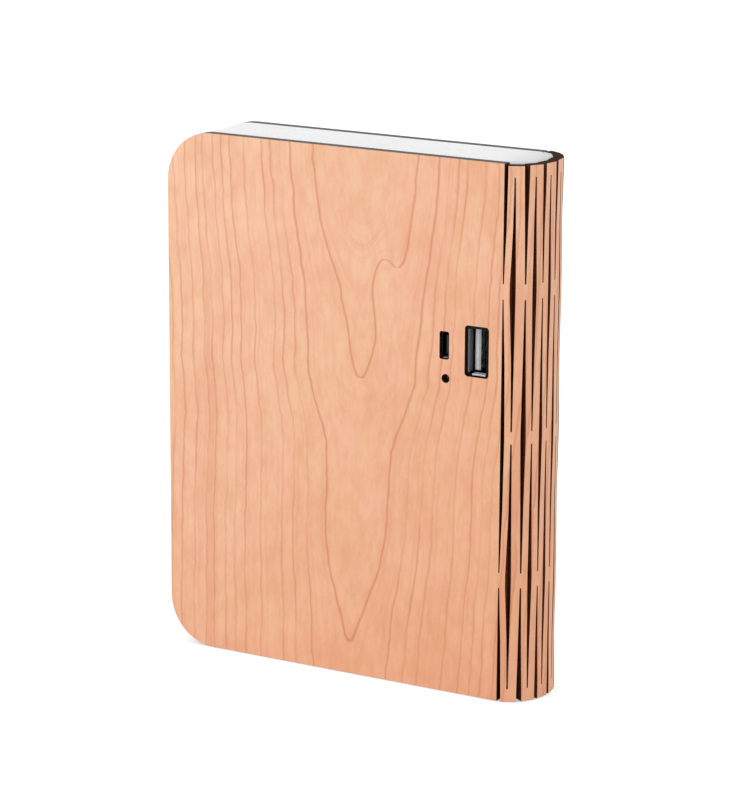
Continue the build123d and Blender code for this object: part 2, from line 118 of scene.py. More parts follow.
# ---- light and floor, in metres and watts --------------------------------------------------
KEY_LIGHT = ((-0.75, -1.25, 1.05), 0.9, 6.6)  # place, size, power
FILL_LIGHT = ((1.4, -0.6, 0.8), 1.2, 2.4)
LIT_POINT = (0.0, 0.0, 0.07)
WHITE = (1.0, 1.0, 1.0, 1.0)
WORLD_LIGHT = 0.8
WORLD_SHOWN = 1.0  # as the camera, metal and glass see it
FLOOR_SIZE = 3.0
FLOOR_DROP = 0.0002
FLOOR_COLOR = (0.85, 0.85, 0.85, 1.0)
FLOOR_GLOW = 0.42


def row(x, y, z):
    """A point in book coordinates, in millimetres, as the frame's metres."""
    return Vector(((x + BOOK_ORIGIN[0]) / 1000, (y + BOOK_ORIGIN[1]) / 1000, z / 1000))


def srgb(red, green, blue):
    """A colour as it looks, 0 to 255, for a shader's socket."""

    def linear(value):
        value /= 255
        return value / 12.92 if value <= 0.04045 else ((value + 0.055) / 1.055) ** 2.4

    return (linear(red), linear(green), linear(blue), 1.0)


def photo_camera():
    """The camera at the photograph's viewing angle."""
    ahead = CAMERA_AHEAD.normalized()
    level_right = CAMERA_RIGHT.normalized()
    level_up = level_right.cross(ahead)
    right = math.cos(CAMERA_ROLL) * level_right + math.sin(CAMERA_ROLL) * level_up
    up = right.cross(ahead)
    lens = bpy.data.cameras.new("camera")
    lens.sensor_width = SENSOR_WIDTH
    lens.lens = LENS
    camera = bpy.data.objects.new("camera", lens)
    turn = Matrix((right, up, -ahead)).transposed().to_4x4()
    camera.matrix_world = Matrix.Translation(CAMERA_PLACE) @ turn
    bpy.context.scene.collection.objects.link(camera)
    bpy.context.scene.camera = camera


photo_camera()


# ---- shader helpers ------------------------------------------------------------------------
class Tree:
    """A material's node tree, with short calls for the maths that the materials share."""

    def __init__(self, name):
        self.material = bpy.data.materials.new(name)
        self.material.use_nodes = True
        self.tree = self.material.node_tree
        self.shader = self.tree.nodes["Principled BSDF"]

    def node(self, kind, **settings):
        made = self.tree.nodes.new(kind)
        for key, value in settings.items():
            setattr(made, key, value)
        return made

    def put(self, socket, value):
        """Links a socket or sets its constant."""
        if isinstance(value, bpy.types.NodeSocket):
            self.tree.links.new(value, socket)
        else:
            socket.default_value = value

    def maths(self, operation, *values, clamp=False):
        made = self.node("ShaderNodeMath", operation=operation, use_clamp=clamp)
        for socket, value in zip(made.inputs, values):
            self.put(socket, value)
        return made.outputs[0]

    def plus(self, a, b):
        return self.maths("ADD", a, b)

    def minus(self, a, b):
        return self.maths("SUBTRACT", a, b)

    def times(self, a, b):
        return self.maths("MULTIPLY", a, b)

    def times_plus(self, a, b, c, clamp=False):
        return self.maths("MULTIPLY_ADD", a, b, c, clamp=clamp)

    def larger(self, a, b):
        return self.maths("MAXIMUM", a, b)

    def between(self, value, low, high):
        """1 where the value is between two limits, else 0."""
        above = self.maths("GREATER_THAN", value, low)
        return self.times(above, self.maths("LESS_THAN", value, high))

    def vector(self, x, y, z):
        made = self.node("ShaderNodeCombineXYZ")
        for socket, value in zip(made.inputs, (x, y, z)):
            self.put(socket, value)
        return made.outputs[0]

    def split(self, value):
        made = self.node("ShaderNodeSeparateXYZ")
        self.put(made.inputs[0], value)
        return made.outputs

    def noise(self, place, scale, detail=2.0, rough=0.5, distortion=0.0):
        made = self.node("ShaderNodeTexNoise")
        self.put(made.inputs["Vector"], place)
        made.inputs["Scale"].default_value = scale
        made.inputs["Detail"].default_value = detail
        made.inputs["Roughness"].default_value = rough
        made.inputs["Distortion"].default_value = distortion
        return made.outputs["Fac"]

    def fit(self, value, low, high, to_low=0.0, to_high=1.0):
        """A value moved from one range to another and kept inside it."""
        made = self.node("ShaderNodeMapRange")
        for socket, number in zip(made.inputs, (value, low, high, to_low, to_high)):
            self.put(socket, number)
        return made.outputs[0]

    def mix(self, share, a, b, blend="MIX"):
        made = self.node("ShaderNodeMix", data_type="RGBA", blend_type=blend)
        self.put(made.inputs["Factor"], share)
        self.put(made.inputs["A"], a)
        self.put(made.inputs["B"], b)
        return made.outputs["Result"]

    def curve(self, value, points):
        """A value read off a line through points."""
        made = self.node("ShaderNodeFloatCurve")
        line = made.mapping.curves[0]
        for place in points[1:-1]:
            line.points.new(*place)
        line.points[0].location = points[0]
        line.points[len(points) - 1].location = points[-1]
        for point in line.points:
            point.handle_type = "VECTOR"
        made.mapping.update()
        self.put(made.inputs["Value"], value)
        return made.outputs[0]

    def bump(self, height, strength, distance):
        made = self.node("ShaderNodeBump")
        made.inputs["Strength"].default_value = strength
        made.inputs["Distance"].default_value = distance
        self.put(made.inputs["Height"], height)
        self.put(self.shader.inputs["Normal"], made.outputs[0])

    def surface(self, color, roughness, **constants):
        """The finished material. Constants go straight on the shader's own sockets."""
        self.put(self.shader.inputs["Base Color"], color)
        self.put(self.shader.inputs["Roughness"], roughness)
        for key, value in constants.items():
            self.shader.inputs[key.replace("_", " ")].default_value = value
        return self.material


# ---- wood ----------------------------------------------------------------------------------
# The figure of a flat-sawn veneer. A growth ring is where u * u + slope(z) is constant, u being
# the distance from the figure's middle line, and its radius is the root of that.
SHEET_SCALE = 200.0  # millimetres to a unit of the strips' sheet coordinates
FIGURE_X = -47.3  # middle line at the bottom edge
FIGURE_TILT = 0.038  # its run towards the spine for each millimetre up
LEAN_Z = 98.0  # above it the rings lean towards the fore-edge
LEAN_NEAR = (10.0, 0.025)  # distance from the middle line, and lean there
LEAN_FAR = (45.0, 0.055)
SWAY = 1.2  # slow and quick waves in the rings
SHAKE = 0.9
SLOPE_TOP = 600.0
SLOPE_STEEP = 1.2  # stands for half the slope's steepness where the lines' widths are worked out
SLOPES = (
    (0, 592), (9.6, 568), (16, 559.5), (25, 537), (33, 495), (42, 466), (50, 472), (66, 458),
    (72, 427), (80, 350), (86, 280), (98, 260), (112, 222), (129, 92), (140, 30), (150, 0),
)
# Places where the rings bulge inwards or outwards: where, how wide and tall, and how much.
DIMPLES = (((-37.2, 114.0), (2.4, 6.5), 135.0), ((-29.0, 121.0), (4.0, 9.0), -45.0))
RING_REACH = 200.0
RING_COUNT = 40.0
RING_STEP = 0.5  # over which the rings' spacing is read
LEAST_SPACING_RISE = 0.02
RINGS = (
    0, 16.9, 24, 27, 29.9, 32.4, 38.1, 42.4, 45.2, 47.9, 51.5, 53.8, 57.6, 61.5, 64.5, 69, 74.5,
    78, 83.5, 87, 92.5, 95.5, 101, 106, 109.5, 115, 121, 124.5, 130, 136, 141, 144.5, 150, 156,
    161, 167, 172, 178, 184, 190, 200,
)
LINE_OUTSIDE = 0.35  # a ring's line fades out over these widths
LINE_INSIDE = 0.5
LINE_HAZE = 2.2
LINE_SHARE = 0.7
DARK_BAND = 52.7  # radius of a darker ring
WOOD_LIGHT = srgb(251, 205, 174)
WOOD_MAIN = srgb(246, 194, 161)
WOOD_DEEP = srgb(233, 170, 134)
WOOD_PALE = srgb(252, 214, 184)
WOOD_LINE = srgb(216, 138, 100)
# Partly the veneer's own tone and partly painted shade: deepens and darkens the sheet towards its
# lower spine end.
WOOD_TONE_AND_SHADE = srgb(243, 224, 210)  # multiplies the sheet's lower spine end
WOOD_ROSY = srgb(255, 251, 252)  # these two multiply patches of the sheet
WOOD_STRAW = srgb(254, 255, 250)
CHAR = srgb(58, 50, 46)
CHAR_BROWN = srgb(40, 22, 14)
SLIT_DARK = srgb(74, 38, 26)
SLIT_BROWN = srgb(104, 56, 36)


def figure_distance(t, x, z):
    """How far a point lies from the figure's middle line, with the waves of the rings in it."""
    sway = t.noise(t.vector(t.times(x, 0.6), z, 0.0), scale=0.03)
    shake = t.noise(t.vector(t.times(x, 1.2), z, 7.0), scale=0.1, detail=3.0, rough=0.6)
    across = t.minus(x, t.times_plus(z, FIGURE_TILT, FIGURE_X))
    (near, near_lean), (far, far_lean) = LEAN_NEAR, LEAN_FAR
    lean = t.fit(t.maths("ABSOLUTE", across), near, far, near_lean, far_lean)
    across = t.times_plus(lean, t.larger(t.minus(z, LEAN_Z), 0.0), across)
    across = t.plus(across, t.fit(sway, 0.0, 1.0, -SWAY, SWAY))
    return t.plus(across, t.fit(shake, 0.0, 1.0, -SHAKE, SHAKE))


def ring_radius(t, x, z):
    """A point's ring radius, and half the steepness of the radius's square."""
    across = figure_distance(t, x, z)
    slope = t.curve(
        t.maths("DIVIDE", z, HEIGHT),
        [(height / HEIGHT, value / SLOPE_TOP) for height, value in SLOPES],
    )
    square = t.times_plus(slope, SLOPE_TOP, t.times(across, across))
    steep_x, steep_z = across, SLOPE_STEEP
    for (place_x, place_z), (wide, tall), height in DIMPLES:
        dx = t.maths("DIVIDE", t.minus(x, place_x), wide)
        dz = t.maths("DIVIDE", t.minus(z, place_z), tall)
        reach = t.plus(t.times(dx, dx), t.times(dz, dz))
        dimple = t.times(t.maths("EXPONENT", t.times(reach, -0.5)), height)
        square = t.plus(square, dimple)
        steep_x = t.times_plus(t.times(dimple, dx), -0.5 / wide, steep_x)
        steep_z = t.times_plus(t.times(dimple, dz), -0.5 / tall, steep_z)
    steep = t.maths("SQRT", t.times_plus(steep_x, steep_x, t.times(steep_z, steep_z)))
    return t.maths("SQRT", t.larger(square, 0.0)), steep


def ring_lines(t, radius, steep, z):
    """Strength of the growth rings' lines, 0 between them."""
    steps = [(ring / RING_REACH, n / RING_COUNT) for n, ring in enumerate(RINGS)]
    count = t.times(t.curve(t.maths("DIVIDE", radius, RING_REACH), steps), RING_COUNT)
    further = t.curve(t.maths("DIVIDE", t.plus(radius, RING_STEP), RING_REACH), steps)
    rise = t.times_plus(further, RING_COUNT, t.times(count, -1.0))
    rise = t.maths("DIVIDE", t.larger(rise, LEAST_SPACING_RISE), RING_STEP)
    spread = t.maths("DIVIDE", radius, t.times(rise, steep))
    phase = t.maths("FRACT", count)
    outside = t.times(phase, spread)
    inside = t.times(t.minus(1.0, phase), spread)
    sharp_outside = t.fit(outside, 0.0, LINE_OUTSIDE, 1.0, 0.0)
    sharp_inside = t.fit(inside, 0.0, LINE_INSIDE, 1.0, 0.0)
    haze = t.maths("POWER", t.fit(inside, 0.0, LINE_HAZE, 1.0, 0.0), 2.0)
    line = t.times_plus(haze, 0.25, t.larger(sharp_outside, sharp_inside), clamp=True)
    ring = t.maths("ROUND", count)
    varied = t.noise(t.vector(t.times(ring, 1.7), t.times(z, 0.03), 3.0), scale=0.9, detail=1.0)
    inner_rings = t.fit(count, 2.4, 3.0, 1.0, 0.0)
    return t.times(line, t.larger(t.fit(varied, 0.35, 0.6, 0.3, 0.85), inner_rings))


def veneer_color(t, x, z):
    """The veneer's colour at x and z millimetres on the unrolled sheet, and its fine grain."""
    radius, steep = ring_radius(t, x, z)
    line = ring_lines(t, radius, steep, z)
    streaks = t.noise(t.vector(radius, t.times(z, 0.012), 0.0), scale=1.1, detail=4.0, rough=0.6)
    fine = t.noise(
        t.vector(t.times(x, 3.0), t.times(z, 0.12), 0.0), scale=1.0, detail=3.0, rough=0.6
    )
    cloud = t.noise(t.vector(x, z, 0.0), scale=0.045, detail=3.0)
    fleck = t.noise(t.vector(t.times(x, 1.2), t.times(z, 0.5), 5.0), scale=1.6)
    mottle = t.noise(t.vector(t.times(x, 2.2), z, 9.0), scale=0.16, detail=4.0, rough=0.65)
    patch = t.noise(t.vector(x, t.times(z, 0.4), 11.0), scale=0.12, detail=3.0, rough=0.6)
    band = t.fit(t.maths("ABSOLUTE", t.minus(radius, DARK_BAND)), 0.4, 1.4, 0.4, 0.0)
    layers = (
        (t.fit(mottle, 0.45, 0.75, to_high=0.45), WOOD_DEEP),
        (t.fit(mottle, 0.5, 0.25, to_high=0.45), WOOD_PALE),
        (t.fit(streaks, 0.5, 0.75, to_high=0.45), WOOD_DEEP),
        (t.times(band, t.fit(z, 70.0, 130.0, 1.0, 0.3)), WOOD_DEEP),
        (t.fit(fine, 0.5, 0.8, to_high=0.3), WOOD_DEEP),
        (t.fit(fleck, 0.62, 0.75, to_high=0.3), WOOD_PALE),
    )
    color = t.mix(t.fit(cloud, 0.35, 0.68), WOOD_LIGHT, WOOD_MAIN)
    for share, tone in layers:
        color = t.mix(share, color, tone)
    tint = t.mix(t.fit(patch, 0.38, 0.62), WOOD_ROSY, WOOD_STRAW)
    color = t.mix(1.0, color, tint, "MULTIPLY")
    color = t.mix(t.times(line, LINE_SHARE), color, WOOD_LINE)
    # Partly tone, partly painted shade: the veneer deepens and darkens towards its lower spine end
    # and its bottom.
    spine_end = t.fit(x, -COVER_WIDTH, 0.0, 0.5, 1.0)
    toned_and_shaded = t.mix(1.0, color, WOOD_TONE_AND_SHADE, "MULTIPLY")
    return t.mix(t.times_plus(z, -0.5 / HEIGHT, spine_end, clamp=True), color, toned_and_shaded), fine


def char_color(t, place, dark=CHAR, brown=CHAR_BROWN):
    """A laser-burnt edge in patches of two tones."""
    patch = t.noise(place, scale=900.0, detail=3.0, rough=0.6)
    return t.mix(t.fit(patch, 0.35, 0.7), brown, dark)


def veneer(name, x_scale, x_shift, from_sheet=False):
    """Satin veneer with burnt edges. Boards read their own faces, strips their unrolled sheet."""
    t = Tree(name)
    coordinates = t.node("ShaderNodeTexCoord")
    if from_sheet:
        sheet = t.split(coordinates.outputs["UV"])
        x, z = t.times(sheet[0], SHEET_SCALE), t.times(sheet[1], SHEET_SCALE)
    else:
        place = t.split(coordinates.outputs["Object"])
        x, z = t.times(place[0], 1000.0), t.times(place[2], 1000.0)
    color, fine = veneer_color(t, t.times_plus(x, x_scale, x_shift), z)
    if not from_sheet:
        facing = t.maths("ABSOLUTE", t.split(coordinates.outputs["Normal"])[1])
        edge = t.maths("LESS_THAN", facing, 0.7)
        color = t.mix(edge, color, char_color(t, coordinates.outputs["Object"]))
    t.bump(fine, 0.05, 0.0002)
    return t.surface(color, 0.5, Specular_IOR_Level=0.3)


def charred():
    """The strips' cut faces: burnt brown in the slits, darker on their top and bottom ends."""
    t = Tree("charred")
    coordinates = t.node("ShaderNodeTexCoord")
    place, normal = coordinates.outputs["Object"], coordinates.outputs["Normal"]
    t.bump(t.noise(place, scale=2500.0), 0.2, 0.0002)
    flat_end = t.maths("GREATER_THAN", t.maths("ABSOLUTE", t.split(normal)[2]), 0.7)
    color = t.mix(flat_end, char_color(t, place, SLIT_DARK, SLIT_BROWN), char_color(t, place))
    return t.surface(color, 0.85, Specular_IOR_Level=0.05)


# ---- other materials -----------------------------------------------------------------------
# Painted light on the sockets' shells: a painted highlight on the lower lip and painted light on the
# left wall, both within this depth of the mouth.
PAINTED_LIGHT_DEPTH = 2.0  # from a socket's mouth
HIGHLIGHT_BRIGHT = (srgb(222, 223, 225), srgb(176, 177, 179))
HIGHLIGHT_DULL = (srgb(156, 157, 160), srgb(112, 113, 116))
LIT_WALL_GREY = srgb(86, 87, 91)


def paper():
    """White shade paper with faint fibres."""
    t = Tree("paper")
    place = t.node("ShaderNodeTexCoord").outputs["Object"]
    fibre = t.noise(place, scale=420.0, detail=4.0, rough=0.65, distortion=1.5)
    cloud = t.noise(place, scale=60.0)
    color = t.mix(t.fit(fibre, 0.35, 0.7), srgb(254, 254, 254), srgb(249, 249, 250))
    color = t.mix(t.fit(cloud, 0.4, 0.7, to_high=0.3), color, srgb(246, 247, 249))
    t.bump(fibre, 0.12, 0.0003)
    return t.surface(color, 0.85, Specular_IOR_Level=0.15)


def plain(name, light, dark, roughness, grain=700.0, **constants):
    """Moulded or plated material: two close tones in a fine grain, and roughness with it."""
    t = Tree(name)
    place = t.node("ShaderNodeTexCoord").outputs["Object"]
    fine = t.noise(place, grain, detail=3.0, rough=0.6)
    broad = t.noise(place, grain / 12)
    share = t.times_plus(broad, 0.6, t.times(fine, 0.4))
    color = t.mix(t.fit(share, 0.35, 0.65), light, dark)
    t.bump(fine, 0.05, 0.0001)
    return t.surface(color, t.fit(fine, 0.3, 0.7, roughness - 0.06, roughness + 0.06), **constants)


def shell(node, bar, highlight_tones, strip=None):
    """Plated steel coloured near black as painted shade, with a painted highlight as a bright bar
    inside the lower lip and painted light as a grey strip on the left wall.

    bar and strip are (left, right, bottom, top) from the shell's own corner, in millimetres.
    """
    t = Tree(node)
    place = t.node("ShaderNodeTexCoord").outputs["Object"]
    fine = t.noise(place, scale=900.0, detail=3.0, rough=0.6)
    aside, deep, above = [
        t.times_plus(value, 1000.0, -1000.0 * start)
        for value, start in zip(t.split(place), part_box(node)[0])
    ]
    near_mouth = t.maths("LESS_THAN", deep, PAINTED_LIGHT_DEPTH)
    # Painted shade: the plated steel is coloured near black for the shade and dark reflections inside
    # the socket.
    color = t.mix(t.fit(fine, 0.35, 0.65), srgb(34, 34, 36), srgb(18, 18, 20))
    highlight_tone = t.mix(t.fit(fine, 0.3, 0.7), *highlight_tones)
    marked = 0.0
    # Painted light near the mouth: a grey strip on the lit left wall and a bright highlight bar on
    # the lower lip, both made non-metallic so the painted light shows.
    for box, tone in ((strip, LIT_WALL_GREY), (bar, highlight_tone)):
        if box:
            inside = t.times(t.between(aside, *box[:2]), t.between(above, *box[2:]))
            inside = t.times(inside, near_mouth)
            color = t.mix(inside, color, tone)
            marked = t.larger(inside, marked)
    t.put(t.shader.inputs["Metallic"], t.minus(1.0, marked))
    t.bump(fine, 0.05, 0.0001)
    return t.surface(color, t.fit(fine, 0.3, 0.7, 0.3, 0.42))


def tongue():
    """A socket's white plastic tongue, with painted shade on its contact side."""
    t = Tree("tongue")
    coordinates = t.node("ShaderNodeTexCoord")
    fine = t.noise(coordinates.outputs["Object"], scale=700.0, detail=3.0, rough=0.6)
    shaded_side = t.maths("GREATER_THAN", t.split(coordinates.outputs["Normal"])[0], 0.85)
    color = t.mix(t.fit(fine, 0.35, 0.65), srgb(236, 236, 236), srgb(212, 213, 214))
    # Painted shade: darker tones on the contact side, which lies in shadow.
    dark = t.mix(t.fit(fine, 0.4, 0.6), srgb(150, 150, 152), srgb(70, 70, 72))
    t.bump(fine, 0.05, 0.0001)
    return t.surface(t.mix(shaded_side, color, dark), t.fit(fine, 0.3, 0.7, 0.36, 0.46))


def circuit():
    """Green lacquer over faint copper tracks."""
    t = Tree("circuit")
    place = t.node("ShaderNodeTexCoord").outputs["Object"]
    bricks = t.node("ShaderNodeTexBrick", offset=0.37)
    t.put(bricks.inputs["Vector"], t.vector(t.split(place)[2], t.split(place)[0], 0.0))
    bricks.inputs["Scale"].default_value = 180.0
    bricks.inputs["Mortar Size"].default_value = 0.05
    bricks.inputs["Color1"].default_value = srgb(22, 92, 48)
    bricks.inputs["Color2"].default_value = srgb(18, 82, 44)
    bricks.inputs["Mortar"].default_value = srgb(48, 128, 66)
    t.bump(t.noise(place, scale=800.0), 0.05, 0.0001)
    return t.surface(bricks.outputs["Color"], 0.32, Specular_IOR_Level=0.5)


# ---- the closed spine ----------------------------------------------------------------------
closed = list(CLOSED_BENDS)
closed += [180.0 - 2 * sum(CLOSED_BENDS)] + closed[::-1]
headings = [0.0]  # of the front cover, the strips and the back cover, in degrees
for bend in closed[:-1]:
    headings.append(headings[-1] + bend)
pitch = (BOOK_T - COVER_T) / sum(math.sin(math.radians(h)) for h in headings)
headings.append(180.0)
lines = [Vector((0.0, COVER_T / 2))]  # the fold lines' places in x and y
for h in headings[1:-1]:
    lines.append(lines[-1] + pitch * Vector((math.cos(math.radians(h)), math.sin(math.radians(h)))))
STRIPS = len(headings) - 2

# ---- materials on the CAD's pieces ---------------------------------------------------------
wood_front = veneer("wood_front", 1.0, -BOOK_ORIGIN[0])
wood_back = veneer("wood_back", -1.0, BOOK_ORIGIN[0] + STRIPS * pitch)
wood_strip = veneer("wood_strip", 1.0, 0.0, from_sheet=True)
char = charred()
white_paper = paper()
finishes = {
    "case": plain("case", srgb(236, 236, 234), srgb(228, 228, 226), 0.5),
    "screw": plain("screw", srgb(190, 190, 192), srgb(160, 160, 163), 0.34, Metallic=1.0),
    "magnet": plain("magnet", srgb(205, 205, 208), srgb(190, 190, 193), 0.22, Metallic=1.0),
    "circuit_board": circuit(),
    "tongue": tongue(),
    # Painted shade: the contacts' gold is coloured dark brown for the shade they sit in.
    "contact": plain("contact", srgb(112, 102, 84), srgb(74, 68, 58), 0.36, Metallic=1.0),
    "black_plastic": plain("black_plastic", srgb(38, 38, 40), srgb(26, 26, 28), 0.42),
    "lamp_lens": plain("lamp_lens", srgb(30, 30, 32), srgb(20, 20, 22), 0.15),
    "cell": plain("cell", srgb(202, 204, 208), srgb(178, 180, 184), 0.38, grain=300.0, Metallic=0.9),
    "light": plain("light", srgb(250, 232, 150), srgb(243, 218, 120), 0.3),
    "capacitor": plain("capacitor", srgb(176, 138, 98), srgb(150, 112, 76), 0.45),
    "paper": white_paper,
}
own_looks = {
    "back_board": wood_back,
    # The sockets' shells carry painted shade, a painted highlight bar and a painted lit strip, made
    # in shell().
    "usb_a_shell": shell(
        "usb_a_shell", (1.9, 5.9, 0.25, 0.72), HIGHLIGHT_BRIGHT, (0.55, 1.05, 1.0, 12.9)
    ),
    "micro_usb_shell": shell("micro_usb_shell", (0.6, 2.0, 0.1, 0.35), HIGHLIGHT_DULL),
}
for part in frame["record"]["subparts"]:
    mesh = nodes[part["node"]].data
    mesh.materials.clear()
    finish = finishes.get(part["material_slot"], wood_front)
    mesh.materials.append(own_looks.get(part["node"], finish))


# ---- mesh helpers --------------------------------------------------------------------------
def add_mesh(name, points, faces, materials, indices=None, sheet_places=None):
    """A mesh piece from points in the frame's metres, with its place on the veneer's sheet."""
    mesh = bpy.data.meshes.new(name)
    mesh.from_pydata(points, [], faces)
    for material in materials:
        mesh.materials.append(material)
    if indices:
        mesh.polygons.foreach_set("material_index", indices)
    if sheet_places:
        layer = mesh.uv_layers.new(name="sheet")
        for loop in mesh.loops:
            layer.data[loop.index].uv = sheet_places[loop.vertex_index]
    mesh.update()
    piece = bpy.data.objects.new(name, mesh)
    bpy.context.scene.collection.objects.link(piece)
    return piece


def corner_arc(x, z, radius):
    """Points of the upper fore-edge corner round its centre, top end first."""
    angles = [math.pi / 2 * i / ARC_STEPS for i in range(ARC_STEPS + 1)]
    return [(x - radius * math.sin(a), z + radius * math.cos(a)) for a in angles]


# ---- lattice spine -------------------------------------------------------------------------
# Columns of a strip's section: its four corners, and the edge of the bridge beside it.
OUT_NEAR, OUT_FAR, IN_FAR, IN_NEAR, TAB_OUT, TAB_IN = range(6)
COLUMNS = 6
OUTSIDE, CUT, INSIDE = range(3)  # a strip's materials: wood, burnt wood, white paper
SIDES = (
    ((OUT_NEAR, OUT_FAR), OUTSIDE),
    ((OUT_FAR, IN_FAR), CUT),
    ((IN_FAR, IN_NEAR), INSIDE),
    ((IN_NEAR, OUT_NEAR), CUT),
)


def bridge_levels(line):
    """Centre and half height of the bridges across a fold line."""
    if line % 2:
        return [
            (0.0, END_BRIDGE_H),
            (HEIGHT / 2, MIDDLE_BRIDGE_H / 2),
            (HEIGHT, END_BRIDGE_H),
        ]
    return [
        (QUARTER_BRIDGE_Z, QUARTER_BRIDGE_H / 2),
        (HEIGHT - QUARTER_BRIDGE_Z, QUARTER_BRIDGE_H / 2),
    ]


def slit_middle(line):
    """How far a slit's middle lies from its fold line, towards the back cover."""
    shift = SLITS[min(line, STRIPS - line)][2]
    return -shift if line < STRIPS / 2 else shift


def slit_edges(line, z):
    """A slit's two edges at a height, measured from its fold line towards the back cover."""
    tip_width, middle_width, _ = SLITS[min(line, STRIPS - line)]
    level, half = min(bridge_levels(line), key=lambda bridge: abs(z - bridge[0]))
    other_levels = [other for other, _ in bridge_levels(line + 1)]
    slit_centre = min(other_levels, key=lambda other: abs(other - (z + level) / 2))
    length = abs(slit_centre - level) - half
    along = min(max((abs(z - level) - half) / length, 0.0), 1.0)
    half_width = (tip_width + (middle_width - tip_width) * along) / 2
    return slit_middle(line) - half_width, slit_middle(line) + half_width


def half_spans(strip):
    """(line, level, half height, mid-span height) for each half span of a strip, bottom first."""
    levels = sorted(
        [(z, half, line) for line in (strip - 1, strip) for z, half in bridge_levels(line)]
    )
    spans = []
    for (z0, half0, line0), (z1, half1, line1) in zip(levels, levels[1:]):
        middle = (z0 + z1) / 2
        spans.append((line0, z0, half0, middle))
        spans.append((line1, z1, half1, middle))
    return spans


def body_name(index):
    """Body of a strip, or of the cover beyond the first or last one."""
    if index == 0:
        return "front_cover"
    return "back_cover" if index > STRIPS else f"strip_{index:02d}"


def section_point(strip, line, share, across, out):
    """A point of a strip's section, turned by a share of the way to its neighbour's heading."""
    neighbour = strip - 1 if line < strip else strip + 1
    heading = math.radians(headings[strip])
    point = lines[strip - 1] + Vector((math.cos(heading), math.sin(heading))) * across
    point += Vector((math.sin(heading), -math.cos(heading))) * out
    swing = math.radians((headings[neighbour] - headings[strip]) * share)
    pivot = lines[line]
    offset = point - pivot
    turned_x = offset.x * math.cos(swing) - offset.y * math.sin(swing)
    turned_y = offset.x * math.sin(swing) + offset.y * math.cos(swing)
    return pivot + Vector((turned_x, turned_y))


def span_faces(rows, on_right, upward, at_end):
    """Faces of half a span and their materials. The bridge is in the last step between rows."""
    faces, indices = [], []

    def add(corners, index):
        faces.append(corners if upward else corners[::-1])
        indices.append(index)

    def wall(step, a, b, index):
        low, high = step * COLUMNS, (step + 1) * COLUMNS
        add((low + a, low + b, high + b, high + a), index)

    def flat(step, corners):
        add(tuple(step * COLUMNS + corner for corner in corners), CUT)

    root = (OUT_FAR, IN_FAR) if on_right else (IN_NEAR, OUT_NEAR)
    last = rows - 1
    for step in range(last):
        for side, finish in SIDES:
            if side != root or step < last - 1:
                wall(step, *side, finish)
    if on_right:
        wall(last - 1, OUT_FAR, TAB_OUT, OUTSIDE)
        wall(last - 1, TAB_IN, IN_FAR, INSIDE)
        flat(last - 1, (IN_FAR, TAB_IN, TAB_OUT, OUT_FAR))
    else:
        wall(last - 1, TAB_OUT, OUT_NEAR, OUTSIDE)
        wall(last - 1, IN_NEAR, TAB_IN, INSIDE)
        flat(last - 1, (OUT_NEAR, TAB_OUT, TAB_IN, IN_NEAR))
    if at_end:
        flat(last, (OUT_NEAR, OUT_FAR, IN_FAR, IN_NEAR))
        if on_right:
            flat(last, (OUT_FAR, TAB_OUT, TAB_IN, IN_FAR))
        else:
            flat(last, (TAB_OUT, OUT_NEAR, IN_NEAR, TAB_IN))
    return faces, indices


def strip_piece(strip, number, line, level, half, middle):
    """Half a span of a strip: untwisted at mid-span, in line with its neighbour at the bridge."""
    on_right = line == strip
    neighbour = strip + 1 if on_right else strip - 1
    full_share = 1.0 if neighbour in (0, STRIPS + 1) else 0.5
    upward = level > middle
    edge = level - half if upward else level + half
    drop = TOP_DROPS[(strip - 1) // 2] if level == HEIGHT else 0.0
    heights = [middle + (edge - middle) * i / TWIST_STEPS for i in range(TWIST_STEPS + 1)]
    heights.append(level - drop)
    shares = [full_share * i / TWIST_STEPS for i in range(TWIST_STEPS + 1)]
    shares.append(full_share)
    seam = {0: FRONT_SEAM, STRIPS + 1: BACK_SEAM}.get(neighbour, 0.0)
    tab_edge = slit_middle(line) + (pitch + seam if on_right else -seam)
    outer, inner = COVER_T / 2, -COVER_T / 2
    points, sheet = [], []
    for z, share in zip(heights, shares):
        near = slit_edges(strip - 1, z)[1]
        far = pitch + slit_edges(strip, z)[0]
        columns = [(near, outer), (far, outer), (far, inner), (near, inner)]
        columns += [(tab_edge, outer), (tab_edge, inner)]
        for across, out in columns:
            place = section_point(strip, line, share, across, out)
            points.append(row(place.x, place.y, z))
            sheet.append((((strip - 1) * pitch + across) / SHEET_SCALE, z / SHEET_SCALE))
    faces, indices = span_faces(len(heights), on_right, upward, level in (0.0, HEIGHT))
    name = f"strip_{strip:02d}_span_{number}"
    piece = add_mesh(name, points, faces, [wood_strip, char, white_paper], indices, sheet)
    own = body_name(strip)
    if neighbour == STRIPS + 1:  # no joint there
        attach(piece, own)
    else:
        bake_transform(piece)
    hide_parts(f"spine_strip_{strip:02d}")


for strip in range(1, STRIPS + 1):
    for number, span in enumerate(half_spans(strip)):
        strip_piece(strip, number, *span)


# ---- paper shade ---------------------------------------------------------------------------
def inner_wall_x(y):
    """How far the spine's inner wall stands out at a depth y in the closed book."""
    wall = []
    for place, before, after in zip(lines, headings, headings[1:]):
        mean = math.radians((before + after) / 2)
        wall.append(place + COVER_T / 2 * Vector((-math.sin(mean), math.cos(mean))))
    for low, high in zip(wall, wall[1:]):
        if y <= high.y:
            share = max(y - low.y, 0) / (high.y - low.y)
            return low.x + (high.x - low.x) * share
    return wall[-1].x


def pleat_end_x(y):
    """Where a pleat's paper ends beside the spine, at a depth y in the closed book."""
    gap = SPINE_GAP_PEAK - SPINE_GAP_SLOPE * abs(y - BOOK_T / 2)
    return inner_wall_x(y) - min(max(gap, SPINE_GAP_LEAST), SPINE_GAP_MOST)


def fold_share(depth):
    """Where in its pleat a fold's paper lies at a depth, so that it opens as a straight zigzag."""
    weight = 0.5 * depth / PLEAT_DEPTH
    return 0.5 - math.sin(math.asin(1 - 2 * weight) / 3)


